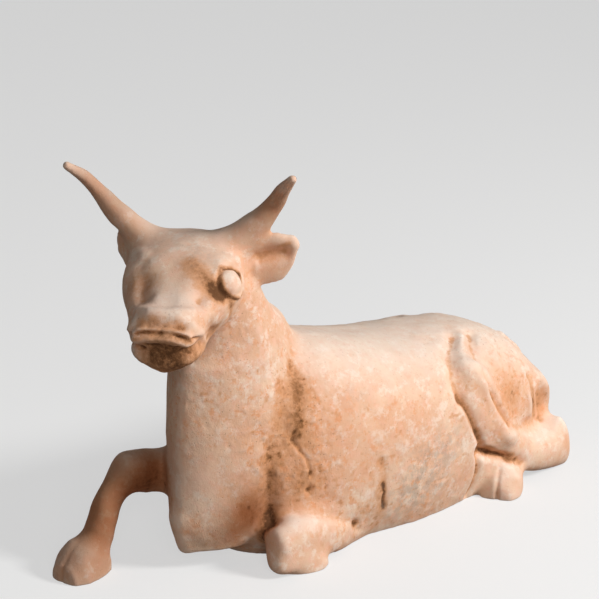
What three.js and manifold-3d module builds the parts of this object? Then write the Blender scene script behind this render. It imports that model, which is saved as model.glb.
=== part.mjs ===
// A recumbent ox in unglazed fired clay, about 37 cm long.
// The barrel is two hollow press-moulded halves, open underneath. A hollow neck, a hollow skull and
// its jaw are luted on in front, and solid horns, ears, eyes, legs, hooves and tail are luted onto those.
// Millimetres. +X is forwards, +Y is the ox's left and +Z is up. While it is built, x = 0 is the
// rump end of the barrel, y = 0 its middle and z = 0 the ground.
import * as THREE from "three";
import { mergeVertices } from "three/addons/utils/BufferGeometryUtils.js";
import Module from "manifold-3d";

const wasm = await Module();
wasm.setup();

// Clay: the walls, and the slip line between two luted pieces.
const TORSO_WALL = 8;
const NECK_WALL = 9;
const HEAD_WALL = 10;
const SLIP_LINE = 0.3;

// Barrel.
const TORSO_LENGTH = 281;
const TORSO_HALF_WIDTH = 60;
const TORSO_CENTRE_HEIGHT = 50;
const TORSO_RISE = 70;
const TORSO_DROP = 72;
const RUMP_ROUNDING = 4;
const CHEST_ROUNDING = 8;

// Neck and dewlap: one column that leans forwards from the brisket into the head.
const NECK_LAP = 16;
const NECK_HALF_WIDTH = (2 / 3) * TORSO_HALF_WIDTH;
const NECK_HALF_DEPTH = 38;
const BRISKET_CLEARANCE = 13;
const BRISKET_SWAY = 2.5;
const BRISKET_ROUNDING = 2;
const NAPE_HEIGHT = 172;
const NAPE_LEAN = 9;
const NAPE_SWAY = 6;
const NECK_TURN = 14;
const NAPE_ROUNDING = 12;

// Head, in its own frame: the poll is its origin, and its length runs along the face.
const POLL_AHEAD = 14;
const POLL_RISE = 35;
const HEAD_TURN = 40.5;
const HEAD_DROOP = 10;
const HEAD_LEAN = 1.8;
const HEAD_LENGTH = 98;
const HEAD_BACK = 14;
const HEAD_HALF_WIDTH = 35;
const HEAD_HALF_HEIGHT = 20;
const HEAD_BACK_ROUNDING = 5;
const MUZZLE_ROUNDING = 3;
const JAW_BACK = 20;
const JAW_LENGTH = 60;
const JAW_HALF_WIDTH = 20;
const JAW_HALF_HEIGHT = 10;
const THROAT_ROUNDING = 4;
const LIP_ROUNDING = 3;

// Horns, with tenons set in sockets in the skull's wall.
const HORN_ROOT_SPREAD = 22;
const HORN_ROOT_RADIUS = 11;
const HORN_ROUNDING = 2;
const HORN_TENON_RADIUS = 5;
const HORN_TENON_LENGTH = 16;
const HORN_TENON_AHEAD = 2;
const HORN_TENON_SINK = 2;
const HORN_TENON_TILT = 24;
const HORNS = {
  left: { tipSpread: 62, tipRise: 43, fullness: 1.15 },
  right: { tipSpread: 67, tipRise: 42, fullness: 1 },
};

// Ears and eyes.
const EAR_LENGTH = 27;
const EAR_HALF_WIDTH = 18;
const EAR_HALF_THICKNESS = 3.2;
const EAR_AHEAD = 4;
const EAR_SETBACK = 7;
const EAR_SINK = 2;
const EAR_DEPTH = 21;
const EAR_LIFT = 16;
const EAR_ROUNDING = 3;
const EAR_STUB_LENGTH = 9;
const EAR_STUB_FULLNESS = 0.6;
const EYE_RADIUS = 6.8;
const EYE_HALF_DEPTH = 5;
const EYE_SEAT_DEPTH = 5.5;
const EYE_TURN = 22;
const EYE_TILT = 32;
const EYE_AHEAD = 34;
const EYE_DEPTH = 15;
const EYELID_RADIUS = 1.8;
const EYELID_OUT = 1.2;

// Legs and tail.
const FOREARM_RADIUS = 13.5;
const TUCKED_KNEE_RADIUS = 15;
const SHANK_RADIUS = 10;
const THIGH_RADIUS = 13;
const HOCK_RADIUS = 14;
const LIMB_ROUNDING = 6;
const HOOF_LENGTH = 28;
const HOOF_WIDTH = 29;
const HOOF_HEIGHT = 24;
const HOOF_ROUNDING = 3;
const TUCKED_HOOF_SCALE = 0.8;
const CLEFT_WIDTH = 2.2;
const CLEFT_DEPTH = 7;

const TAIL_RADIUS = 5;

const BUFF_CLAY = new THREE.MeshStandardMaterial({ color: 0xdcb393, roughness: 0.95, metalness: 0 });
const PALE_CLAY = new THREE.MeshStandardMaterial({ color: 0xe6c6ab, roughness: 0.92, metalness: 0 });

const LEFT = 1;
const RIGHT = -1;
const SIDEWAYS = new THREE.Vector3(0, 1, 0);
const UPWARDS = new THREE.Vector3(0, 0, 1);
const FAR = 1000;
const DOME_RINGS = 2;
const STEPS_PER_RING = 2;

// A three.js geometry as a solid that can be joined and cut.
function solidOf(geometry) {
  const bare = new THREE.BufferGeometry();
  bare.setAttribute("position", geometry.getAttribute("position"));
  bare.setIndex(geometry.getIndex());
  const merged = mergeVertices(bare, 1e-4);
  return new wasm.Manifold(
    new wasm.Mesh({
      numProp: 3,
      vertProperties: new Float32Array(merged.attributes.position.array),
      triVerts: new Uint32Array(merged.index.array),
    }),
  );
}

// A solid as a named mesh.
function meshOf(name, solid, material) {
  const made = solid.getMesh();
  const geometry = new THREE.BufferGeometry();
  geometry.setAttribute("position", new THREE.BufferAttribute(new Float32Array(made.vertProperties), 3));
  geometry.setIndex(new THREE.BufferAttribute(new Uint32Array(made.triVerts), 1));
  geometry.computeVertexNormals();
  const mesh = new THREE.Mesh(geometry, material);
  mesh.name = name;
  return mesh;
}

function blockOf([x0, y0, z0], [x1, y1, z1]) {
  const geometry = new THREE.BoxGeometry(x1 - x0, y1 - y0, z1 - z0);
  geometry.translate((x0 + x1) / 2, (y0 + y1) / 2, (z0 + z1) / 2);
  return solidOf(geometry);
}

// A point of an oval at one angle. The oval has its own reach and squareness above and below its centre.
function ovalPoint({ wide, up, down }, square, angle, grow) {
  const c = Math.cos(angle);
  const s = Math.sin(angle);
  const power = 2 / square[s > 0 ? 0 : 1];
  return {
    across: Math.sign(c) * Math.abs(c) ** power * (wide + grow),
    above: Math.sign(s) * Math.abs(s) ** power * ((s > 0 ? up : down) + grow),
  };
}

// Shrinking ovals that close a loft's end like a dome.
function domeOf(oval, length, direction, grow) {
  const ovals = [];
  for (let k = 1; k <= DOME_RINGS; k++) {
    const turn = (k / (DOME_RINGS + 1)) * (Math.PI / 2);
    const shrink = Math.cos(turn);
    ovals.push({
      at: oval.at.clone().addScaledVector(oval.along, direction * (length + grow) * Math.sin(turn)),
      along: oval.along,
      wide: (oval.wide + grow) * shrink - grow,
      up: (oval.up + grow) * shrink - grow,
      down: (oval.down + grow) * shrink - grow,
    });
  }
  return ovals;
}

// The ovals along a loft's smooth path, domes included, and the tips of both domes.
function ovalsAlong(rings, { grow, domes }) {
  const path = new THREE.CatmullRomCurve3(rings.map((r) => r.at));
  const reach = new THREE.CatmullRomCurve3(rings.map((r) => new THREE.Vector3(r.wide, r.up, r.down)));
  const count = (rings.length - 1) * STEPS_PER_RING;
  const ovals = [];
  for (let i = 0; i <= count; i++) {
    const size = reach.getPoint(i / count);
    const at = path.getPoint(i / count);
    ovals.push({ at, along: path.getTangent(i / count), wide: size.x, up: size.y, down: size.z });
  }
  const first = ovals[0];
  const last = ovals[count];
  const before = domeOf(first, domes[0], -1, grow).reverse();
  const after = domeOf(last, domes[1], 1, grow);
  return {
    ovals: [...before, ...ovals, ...after],
    start: first.at.clone().addScaledVector(first.along, -(domes[0] + grow)),
    end: last.at.clone().addScaledVector(last.along, domes[1] + grow),
  };
}

// A closed solid through oval rings. Each ring has its centre, its half width, and its reach up and down.
function loft(rings, { grow = 0, sides, domes, side = SIDEWAYS, square = [2.2, 2.2] }) {
  const { ovals, start, end } = ovalsAlong(rings, { grow, domes });
  const points = [];
  for (const oval of ovals) {
    const above = new THREE.Vector3().crossVectors(oval.along, side).normalize();
    const across = new THREE.Vector3().crossVectors(above, oval.along).normalize();
    for (let j = 0; j < sides; j++) {
      const p = ovalPoint(oval, square, (j / sides) * 2 * Math.PI, grow);
      points.push(oval.at.clone().addScaledVector(across, p.across).addScaledVector(above, p.above));
    }
  }
  const index = [];
  const corner = (i, j) => i * sides + (j % sides);
  for (let i = 0; i < ovals.length - 1; i++) {
    for (let j = 0; j < sides; j++) {
      index.push(corner(i, j), corner(i, j + 1), corner(i + 1, j + 1));
      index.push(corner(i, j), corner(i + 1, j + 1), corner(i + 1, j));
    }
  }
  const startPoint = points.push(start) - 1;
  const endPoint = points.push(end) - 1;
  for (let j = 0; j < sides; j++) {
    index.push(startPoint, corner(0, j + 1), corner(0, j));
    index.push(endPoint, corner(ovals.length - 1, j), corner(ovals.length - 1, j + 1));
  }
  const geometry = new THREE.BufferGeometry().setFromPoints(points);
  geometry.setIndex(index);
  return solidOf(geometry);
}

// Barrel profile from rump to chest: share of the length, of the half width, of the rise and of the drop.
const TORSO_PROFILE = [
  [0.0, 0.3, 0.0, 0.6],
  [0.022, 0.5, 0.08, 0.7],
  [0.06, 0.67, 0.26, 0.76],
  [0.155, 0.84, 0.63, 0.86],
  [0.263, 0.94, 0.79, 0.96],
  [0.38, 1.0, 0.84, 1.06],
  [0.51, 1.03, 0.9, 1.1],
  [0.65, 1.01, 1.02, 0.98],
  [0.765, 0.95, 1.14, 0.9],
  [0.863, 0.83, 1.14, 0.86],
  [0.94, 0.66, 0.86, 0.72],
  [1.0, 0.44, 0.54, 0.5],
];

function torsoSkin(grow) {
  const rings = TORSO_PROFILE.map(([along, wide, up, down]) => ({
    at: new THREE.Vector3(along * TORSO_LENGTH, 0, TORSO_CENTRE_HEIGHT),
    wide: wide * TORSO_HALF_WIDTH,
    up: up * TORSO_RISE,
    down: down * TORSO_DROP,
  }));
  return loft(rings, { grow, sides: 26, domes: [RUMP_ROUNDING, CHEST_ROUNDING], square: [2.3, 2.5] });
}

// Neck profile from brisket to nape: share of the climb, share of the lean, then shares of the half
// width, and of the half depth behind and in front. The front is a keel, as a dewlap is, and is
// turned towards the side that the head faces.
const NECK_PROFILE = [
  [0.0, 0.0, 0.74, 0.6, 1.05],
  [0.12, 0.0, 0.89, 0.85, 1.22],
  [0.4, 0.0, 0.95, 1.05, 1.19],
  [0.62, 0.1, 0.9, 1.34, 1.13],
  [0.76, 0.4, 0.82, 1.37, 1.0],
  [0.86, 0.7, 0.74, 0.92, 0.72],
  [1.0, 1.0, 0.66, 0.62, 0.62],
];
const neckFoot = new THREE.Vector3(TORSO_LENGTH - NECK_LAP, BRISKET_SWAY, BRISKET_CLEARANCE);
const nape = new THREE.Vector3(neckFoot.x + NAPE_LEAN, NAPE_SWAY, NAPE_HEIGHT);
const acrossNeck = SIDEWAYS.clone().applyAxisAngle(UPWARDS, THREE.MathUtils.degToRad(NECK_TURN));

function neckSkin(grow) {
  const rings = NECK_PROFILE.map(([climb, lean, wide, back, front]) => ({
    at: new THREE.Vector3(
      neckFoot.x + lean * (nape.x - neckFoot.x),
      neckFoot.y + lean * (nape.y - neckFoot.y),
      neckFoot.z + climb * (nape.z - neckFoot.z),
    ),
    wide: wide * NECK_HALF_WIDTH,
    up: back * NECK_HALF_DEPTH,
    down: front * NECK_HALF_DEPTH,
  }));
  const domes = [BRISKET_ROUNDING, NAPE_ROUNDING];
  return loft(rings, { grow, sides: 22, domes, side: acrossNeck, square: [2, 1.5] });
}

// The head's frame: forwards along the face, across to the ox's left, and up.
const poll = new THREE.Vector3(nape.x + POLL_AHEAD, 0, nape.z + POLL_RISE);
const facing = new THREE.Euler(
  THREE.MathUtils.degToRad(-HEAD_LEAN),
  THREE.MathUtils.degToRad(HEAD_DROOP),
  THREE.MathUtils.degToRad(HEAD_TURN),
  "ZYX",
);
const faceForward = new THREE.Vector3(1, 0, 0).applyEuler(facing);
const faceLeft = new THREE.Vector3(0, 1, 0).applyEuler(facing);
const faceUp = UPWARDS.clone().applyEuler(facing);

function onHead(forward, left, up) {
  return poll
    .clone()
    .addScaledVector(faceForward, forward)
    .addScaledVector(faceLeft, left)
    .addScaledVector(faceUp, up);
}

// Skull profile from nape to muzzle: share of the length, dip of the middle, then shares as for the barrel.
const SKULL_PROFILE = [
  [0.0, 0.0, 0.58, 0.7, 0.8],
  [0.1, 0.0, 0.83, 0.95, 1.2],
  [0.24, 0.0, 0.97, 1.05, 1.5],
  [0.4, 0.05, 1.0, 1.0, 1.6],
  [0.54, 0.15, 0.91, 0.85, 1.45],
  [0.68, 0.25, 0.74, 0.72, 0.95],
  [0.82, 0.25, 0.62, 0.64, 0.5],
  [0.94, 0.28, 0.6, 0.58, 0.34],
  [1.0, 0.28, 0.52, 0.45, 0.28],
];
const BRAINCASE_PROFILE = SKULL_PROFILE.slice(0, 6);

function skullSkin(grow, profile = SKULL_PROFILE) {
  const rings = profile.map(([along, dip, wide, up, down]) => ({
    at: onHead(along * HEAD_LENGTH - HEAD_BACK, 0, -(1 + dip) * HEAD_HALF_HEIGHT),
    wide: wide * HEAD_HALF_WIDTH,
    up: up * HEAD_HALF_HEIGHT,
    down: down * HEAD_HALF_HEIGHT,
  }));
  const domes = [HEAD_BACK_ROUNDING, MUZZLE_ROUNDING];
  return loft(rings, { grow, sides: 20, domes, side: faceLeft, square: [2.4, 2.2] });
}

// Jaw profile from throat to lower lip: as the skull's, with the depth below the poll in head half heights.
const JAW_PROFILE = [
  [0.0, 2.5, 0.9, 0.8, 0.7],
  [0.35, 2.3, 1.0, 1.1, 1.0],
  [0.7, 2.15, 1.0, 1.2, 1.15],
  [0.88, 2.0, 0.97, 1.1, 1.15],
  [1.0, 1.88, 0.88, 0.6, 0.8],
];

function jawSkin(grow) {
  const rings = JAW_PROFILE.map(([along, depth, wide, up, down]) => ({
    at: onHead(JAW_BACK + along * JAW_LENGTH, 0, -depth * HEAD_HALF_HEIGHT),
    wide: wide * JAW_HALF_WIDTH,
    up: up * JAW_HALF_HEIGHT,
    down: down * JAW_HALF_HEIGHT,
  }));
  const domes = [THROAT_ROUNDING, LIP_ROUNDING];
  return loft(rings, { grow, sides: 18, domes, side: faceLeft, square: [2.4, 1.4] });
}

// Horn profile from root to tip: how far ahead in root radii, then shares of the spread, of the rise
// and of the root radius.
const HORN_PROFILE = [
  [0.18, -0.1, -0.26, 1.0],
  [0.09, 0.22, -0.03, 0.8],
  [-0.09, 0.5, 0.22, 0.56],
  [-0.18, 0.68, 0.45, 0.44],
  [0.27, 0.82, 0.71, 0.34],
  [1.27, 1.0, 1.0, 0.2],
];

function hornSkin(side, grow) {
  const { tipSpread, tipRise, fullness } = HORNS[side === LEFT ? "left" : "right"];
  const rings = HORN_PROFILE.map(([ahead, spread, rise, share]) => {
    const radius = share * fullness * HORN_ROOT_RADIUS;
    const left = side * (HORN_ROOT_SPREAD + spread * (tipSpread - HORN_ROOT_SPREAD));
    const at = onHead(ahead * HORN_ROOT_RADIUS, left, rise * tipRise);
    return { at, wide: radius, up: radius, down: radius };
  });
  return loft(rings, { grow, sides: 10, domes: [HORN_ROUNDING, HORN_ROUNDING], side: faceForward });
}

// The tenon runs from inside the horn's root down through the skull's wall.
function hornTenon(side, grow) {
  const radius = HORN_TENON_RADIUS + grow;
  const geometry = new THREE.CylinderGeometry(radius, radius, HORN_TENON_LENGTH + grow, 16);
  const tilt = THREE.MathUtils.degToRad(HORN_TENON_TILT);
  const out = faceLeft.clone().multiplyScalar(side * Math.cos(tilt)).addScaledVector(faceUp, Math.sin(tilt));
  const top = onHead(HORN_TENON_AHEAD, side * HORN_ROOT_SPREAD, -HORN_TENON_SINK);
  const middle = top.addScaledVector(out, -HORN_TENON_LENGTH / 2);
  geometry.applyQuaternion(new THREE.Quaternion().setFromUnitVectors(new THREE.Vector3(0, 1, 0), out));
  geometry.translate(middle.x, middle.y, middle.z);
  return solidOf(geometry);
}

// A leaf-shaped ear, or the broken root of one: shares of the ear's length and of its half width.
const EAR_PROFILE = [
  [-0.15, 0.7],
  [0.2, 0.88],
  [0.45, 1.0],
  [0.75, 0.75],
  [1.0, 0.3],
];

function earSkin(side, { length, fullness }) {
  const rings = EAR_PROFILE.map(([along, wide]) => {
    const ahead = EAR_AHEAD - along * EAR_SETBACK;
    const left = side * (HEAD_HALF_WIDTH - EAR_SINK + along * length);
    return {
      at: onHead(ahead, left, along * EAR_LIFT - EAR_DEPTH),
      wide: wide * fullness * EAR_HALF_WIDTH,
      up: EAR_HALF_THICKNESS,
      down: EAR_HALF_THICKNESS,
    };
  });
  return loft(rings, { sides: 10, domes: [EAR_ROUNDING, EAR_ROUNDING], side: faceUp });
}

// An eye is a flattened pellet pressed into the skull, with a coil of clay round it as its lid. Both
// are made about their own middle, looking along Y, and are then turned to look out, up and forwards.
const headTurn = new THREE.Matrix4().makeBasis(faceForward, faceLeft, faceUp);

function atEye(side, geometry) {
  geometry.rotateX(side * THREE.MathUtils.degToRad(EYE_TILT));
  geometry.rotateZ(-side * THREE.MathUtils.degToRad(EYE_TURN));
  geometry.applyMatrix4(headTurn);
  const at = onHead(EYE_AHEAD, side * (HEAD_HALF_WIDTH - EYE_SEAT_DEPTH), -EYE_DEPTH);
  geometry.translate(at.x, at.y, at.z);
  return solidOf(geometry);
}

function eyeball(side, grow) {
  const geometry = new THREE.SphereGeometry(1, 14, 10);
  geometry.scale(EYE_RADIUS + grow, EYE_HALF_DEPTH + grow, EYE_RADIUS + grow);
  return atEye(side, geometry);
}

function eyelid(side) {
  const geometry = new THREE.TorusGeometry(EYE_RADIUS + EYELID_RADIUS, EYELID_RADIUS, 8, 18);
  geometry.rotateX(Math.PI / 2);
  geometry.translate(0, side * EYELID_OUT, 0);
  return atEye(side, geometry);
}

const RUMP = 0;
const CHEST = TORSO_LENGTH;

// Heights: a share of the height of the barrel's middle, or of its rise above that.
const fromGround = (share) => share * TORSO_CENTRE_HEIGHT;
const fromMiddle = (share) => TORSO_CENTRE_HEIGHT + share * TORSO_RISE;

// A point beside the barrel: its place ahead of one end as a share of the barrel's length, and its
// place out from the middle as a share of the half width.
function besideBarrel({ end, side }, ahead, out, height) {
  return new THREE.Vector3(end + ahead * TORSO_LENGTH, side * out * TORSO_HALF_WIDTH, height);
}

// A limb's rings: ahead, out and height as shares, then its width and thickness as shares of its radius.
function limbRings({ end, side, radius, height = fromGround }, stations) {
  return stations.map(([ahead, out, up, wide, thick]) => ({
    at: besideBarrel({ end, side }, ahead, out, height(up)),
    wide: wide * radius,
    up: thick * radius,
    down: thick * radius,
  }));
}

const reachingForeleg = {
  upper: limbRings({ end: CHEST, side: RIGHT, radius: FOREARM_RADIUS }, [
    [-0.107, 0.5, 0.84, 1.03, 1.03],
    [-0.014, 0.5, 0.9, 0.96, 1.03],
    [0.078, 0.47, 1.02, 0.9, 1.0],
    [0.149, 0.45, 1.12, 0.9, 0.93],
  ]),
  shank: limbRings({ end: CHEST, side: RIGHT, radius: SHANK_RADIUS }, [
    [0.16, 0.45, 1.02, 0.9, 0.9],
    [0.181, 0.45, 0.84, 0.9, 1.0],
    [0.203, 0.45, 0.56, 0.85, 0.9],
    [0.221, 0.45, 0.32, 1.0, 1.1],
  ]),
  hoof: { heel: besideBarrel({ end: CHEST, side: RIGHT }, 0.21, 0.48, 0), heading: 10, scale: 1 },
};

const tuckedForeleg = {
  upper: limbRings({ end: CHEST, side: LEFT, radius: TUCKED_KNEE_RADIUS }, [
    [-0.3, 0.67, 0.24, 0.8, 1.13],
    [-0.208, 0.78, 0.28, 0.8, 1.07],
    [-0.122, 0.83, 0.34, 0.87, 1.07],
    [-0.052, 0.82, 0.31, 0.93, 1.05],
  ]),
  shank: limbRings({ end: CHEST, side: LEFT, radius: SHANK_RADIUS }, [
    [-0.044, 0.86, 0.16, 1.2, 0.8],
    [-0.082, 0.91, 0.14, 1.0, 0.7],
    [-0.114, 0.91, 0.14, 1.0, 0.7],
  ]),
  hoof: {
    heel: besideBarrel({ end: CHEST, side: LEFT }, -0.082, 0.89, 0),
    heading: 180,
    scale: TUCKED_HOOF_SCALE,
  },
};

// A hind leg lies folded along the haunch, with its hoof forwards beside the belly.
function hindLeg(side) {
  return {
    upper: limbRings({ end: RUMP, side, radius: THIGH_RADIUS, height: fromMiddle }, [
      [0.375, 0.73, 0.59, 0.62, 0.46],
      [0.363, 0.8, 0.53, 0.77, 0.77],
      [0.327, 0.83, 0.23, 0.92, 0.92],
      [0.278, 0.85, -0.17, 0.92, 1.08],
    ]),
    shank: limbRings({ end: RUMP, side, radius: HOCK_RADIUS }, [
      [0.274, 0.85, 0.56, 0.8, 0.86],
      [0.196, 0.83, 0.4, 0.86, 0.93],
      [0.103, 0.82, 0.32, 0.95, 1.12],
      [0.06, 0.8, 0.36, 0.86, 1.42],
    ]),
    hoof: { heel: besideBarrel({ end: RUMP, side }, 0.231, 0.8, 0), heading: side * 33, scale: 1 },
  };
}

const legs = {
  right_fore: reachingForeleg,
  left_fore: tuckedForeleg,
  left_hind: hindLeg(LEFT),
  right_hind: hindLeg(RIGHT),
};

function limbSkin(rings, grow) {
  return loft(rings, { grow, sides: 12, domes: [LIMB_ROUNDING, LIMB_ROUNDING] });
}

// A cloven hoof: a low rounded block with its toe along its heading, and a cleft cut in the toe.
const HOOF_PROFILE = [
  [0.0, 0.8, 0.92],
  [0.35, 0.98, 1.0],
  [0.75, 1.0, 0.76],
  [1.0, 0.76, 0.45],
];

function hoofOf({ heel, heading, scale }) {
  const turn = THREE.MathUtils.degToRad(heading);
  const along = new THREE.Vector3(Math.cos(turn), Math.sin(turn), 0);
  const across = new THREE.Vector3(-Math.sin(turn), Math.cos(turn), 0);
  const length = scale * HOOF_LENGTH;
  const rings = HOOF_PROFILE.map(([share, wide, high]) => ({
    at: heel.clone().addScaledVector(along, share * length),
    wide: (wide * scale * HOOF_WIDTH) / 2,
    up: high * scale * HOOF_HEIGHT,
    down: HOOF_ROUNDING,
  }));
  const domes = [HOOF_ROUNDING, HOOF_ROUNDING];
  const block = loft(rings, { sides: 14, domes, side: across, square: [2.4, 2.4] });
  const cleft = new THREE.BoxGeometry(2 * CLEFT_DEPTH, CLEFT_WIDTH, 4 * HOOF_HEIGHT);
  cleft.rotateZ(turn);
  const toe = heel.clone().addScaledVector(along, length + HOOF_ROUNDING);
  cleft.translate(toe.x, toe.y, toe.z);
  return block.subtract(solidOf(cleft));
}

// The tail lies down the back of the rump and turns to the ox's right along the ground.
const tailStart = { end: RUMP, side: RIGHT, radius: TAIL_RADIUS };
const tailRings = [
  ...limbRings({ ...tailStart, height: fromMiddle }, [
    [0.089, 0, 0.41, 1, 1],
    [0.025, 0.02, 0.2, 1, 1],
  ]),
  ...limbRings(tailStart, [
    [-0.007, 0.07, 0.92, 1, 1],
    [-0.007, 0.15, 0.52, 1, 1],
    [0.007, 0.3, 0.22, 1.4, 1.4],
    [0.025, 0.53, 0.1, 1, 1],
  ]),
];

const ground = blockOf([-FAR, -FAR, -FAR], [FAR, FAR, 0]);
const torsoSeat = torsoSkin(SLIP_LINE);
const torsoCavity = torsoSkin(-TORSO_WALL);
const neckSeat = neckSkin(SLIP_LINE);
const neckCavity = neckSkin(-NECK_WALL);
const skullSeat = skullSkin(SLIP_LINE);
const skullCavity = skullSkin(-HEAD_WALL, BRAINCASE_PROFILE);
const hornSeats = hornSkin(LEFT, SLIP_LINE).add(hornSkin(RIGHT, SLIP_LINE));
const eyeSeats = eyeball(LEFT, SLIP_LINE).add(eyeball(RIGHT, SLIP_LINE));
const tenonSockets = hornTenon(LEFT, SLIP_LINE).add(hornTenon(RIGHT, SLIP_LINE));

const ox = new THREE.Group();
ox.name = "recumbent_ox";
function add(name, solid, material = BUFF_CLAY) {
  ox.add(meshOf(name, solid, material));
}

// Barrel halves, with the way into the neck left open.
const shell = torsoSkin(0).subtract(ground).subtract(torsoCavity).subtract(neckCavity);
add("torso_left", shell.intersect(blockOf([-FAR, SLIP_LINE / 2, -FAR], [FAR, FAR, FAR])));
add("torso_right", shell.intersect(blockOf([-FAR, -FAR, -FAR], [FAR, -SLIP_LINE / 2, FAR])));
add("neck", neckSkin(0).subtract(torsoSeat).subtract(neckCavity).subtract(skullCavity));

// Head.
const hollowSkull = skullSkin(0).subtract(neckSeat).subtract(skullCavity).subtract(neckCavity);
add("skull", hollowSkull.subtract(eyeSeats).subtract(tenonSockets));
add("jaw", jawSkin(0).subtract(skullSeat).subtract(neckSeat));
for (const [word, side] of [["left", LEFT], ["right", RIGHT]]) {
  add(`${word}_horn`, hornSkin(side, 0).subtract(skullSeat).add(hornTenon(side, 0)), PALE_CLAY);
  add(`${word}_eye`, eyeball(side, 0));
  add(`${word}_eyelid`, eyelid(side).subtract(skullSeat).subtract(eyeSeats));
}
const earSeat = skullSeat.add(neckSeat).add(hornSeats);
const wholeEar = { length: EAR_LENGTH, fullness: 1 };
const brokenEar = { length: EAR_STUB_LENGTH, fullness: EAR_STUB_FULLNESS };
add("left_ear", earSkin(LEFT, wholeEar).subtract(earSeat), PALE_CLAY);
add("right_ear_stub", earSkin(RIGHT, brokenEar).subtract(earSeat));

// Legs: the upper piece sits on the body, the shank on the upper piece, and the hoof on both.
const bodySeat = torsoSeat.add(neckSeat).add(ground);
for (const [name, leg] of Object.entries(legs)) {
  const upperSeat = limbSkin(leg.upper, SLIP_LINE).add(bodySeat);
  const shankSeat = limbSkin(leg.shank, SLIP_LINE).add(upperSeat);
  add(`${name}_upper`, limbSkin(leg.upper, 0).subtract(bodySeat));
  add(`${name}_shank`, limbSkin(leg.shank, 0).subtract(upperSeat));
  add(`${name}_hoof`, hoofOf(leg.hoof).subtract(shankSeat));
}
add("tail", limbSkin(tailRings, 0).subtract(bodySeat));

// The origin is on the ground, under the middle of the whole ox.
const bounds = new THREE.Box3().setFromObject(ox);
const middle = bounds.getCenter(new THREE.Vector3());
for (const part of ox.children) part.geometry.translate(-middle.x, -middle.y, -bounds.min.z);

export default ox;
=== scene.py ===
import itertools
import math

import bpy
import numpy as np
from mathutils import Matrix, Vector
from mathutils.bvhtree import BVHTree


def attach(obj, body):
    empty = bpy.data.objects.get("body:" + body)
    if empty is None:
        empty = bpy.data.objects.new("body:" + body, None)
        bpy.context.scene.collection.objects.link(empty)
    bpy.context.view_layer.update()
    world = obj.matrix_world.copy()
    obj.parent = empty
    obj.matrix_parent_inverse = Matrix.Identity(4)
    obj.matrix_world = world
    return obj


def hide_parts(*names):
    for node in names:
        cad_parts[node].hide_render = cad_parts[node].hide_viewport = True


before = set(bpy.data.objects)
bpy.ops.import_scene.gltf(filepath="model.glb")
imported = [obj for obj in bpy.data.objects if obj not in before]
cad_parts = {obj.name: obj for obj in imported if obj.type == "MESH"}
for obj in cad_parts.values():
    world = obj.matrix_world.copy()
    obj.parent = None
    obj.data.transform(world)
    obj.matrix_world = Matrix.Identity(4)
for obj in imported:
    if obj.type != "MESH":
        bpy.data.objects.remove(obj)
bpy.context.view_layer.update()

scene = bpy.context.scene
METRES = 0.001
LEFT, RIGHT = 1, -1

# Sizes in millimetres and degrees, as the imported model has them. Only the eyeball differs: it is
# 0.6 mm larger in radius.
RUMP_X = -181.64
BARREL_LENGTH = 281
BARREL_HALF_WIDTH = 60
BARREL_MIDDLE = 50
BARREL_RISE = 70
BARREL_DROP = 72
CHEST_X = RUMP_X + BARREL_LENGTH
NECK_HALF_WIDTH = 40
NECK_HALF_DEPTH = 38
NECK_FOOT = np.array([CHEST_X - 16, 2.5, 13])
NECK_TURN = 14
NAPE = np.array([CHEST_X - 7, 6, 172])
POLL = np.array([CHEST_X + 7, 0, 207])
HEAD_TURN, HEAD_DROOP, HEAD_LEAN = 40.5, 10, 1.8
HEAD_LENGTH = 98
HEAD_BACK = 14
HEAD_HALF_WIDTH = 35
HEAD_HALF_HEIGHT = 20
JAW_BACK = 20
JAW_LENGTH = 60
JAW_HALF_WIDTH = 20
JAW_HALF_HEIGHT = 10
HORN_ROOT_SPREAD = 22
HORN_ROOT_RADIUS = 11
# Horns: spread and rise of the tip, fullness. Ears: length, fullness.
HORNS = {LEFT: (62, 43, 1.15), RIGHT: (67, 42, 1.0)}
EAR_HALF_WIDTH = 18
EAR_HALF_THICKNESS = 3.2
EARS = {LEFT: (27, 1.0), RIGHT: (9, 0.6)}
EAR_ROOT_AHEAD, EAR_ROOT_INSET, EAR_ROOT_DROP = 4, 2, 21
EAR_SWEEP_BACK, EAR_RISE = 7, 16
EYE_RADIUS = 7.5
EYE_HALF_DEPTH = 5.6
EYE_SEAT_DEPTHS = {LEFT: 5.3, RIGHT: 8.2}
EYE_TURN = 22
EYE_TILT = 32
EYELID_RADIUS = 1.8
EYELID_OUT = 0.8
EYE_AHEAD, EYE_DROP = 34, 15
EYE_CREASE_RADIUS, EYE_CREASE_OUT = 10.2, 1.0
EYE_CREASE_WIDTH, EYE_CREASE_HEIGHT = 1.5, -1.8
FOREARM_RADIUS = 13.5
TUCKED_KNEE_RADIUS = 15
SHANK_RADIUS = 10
THIGH_RADIUS = 13
HOCK_RADIUS = 14
HOOF_LENGTH, HOOF_WIDTH, HOOF_HEIGHT = 28, 29, 24
TAIL_RADIUS = 5

# The skin: its grain, and how the joints between the forms are worked over.
SKIN_GRAIN = 1.1
FORM_REACH = 24.0
CHEST_BLEND = 22
CREASE_GAIN, CREASE_PASSES, LAST_PASSES = 2.5, 90, 2
BOARD_FOOT, BOARD_RISE, BOARD_LEAST = 15, 60, 0.3
WALLS = {"torso_left": 7.5, "torso_right": 7.5, "neck": 7.5, "skull": 6.0}
PLUG_DEPTH = 2.2
SAME_PLACE = 1e-4


def unit(rows):
    return rows / np.linalg.norm(rows, axis=1)[:, None]


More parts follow.
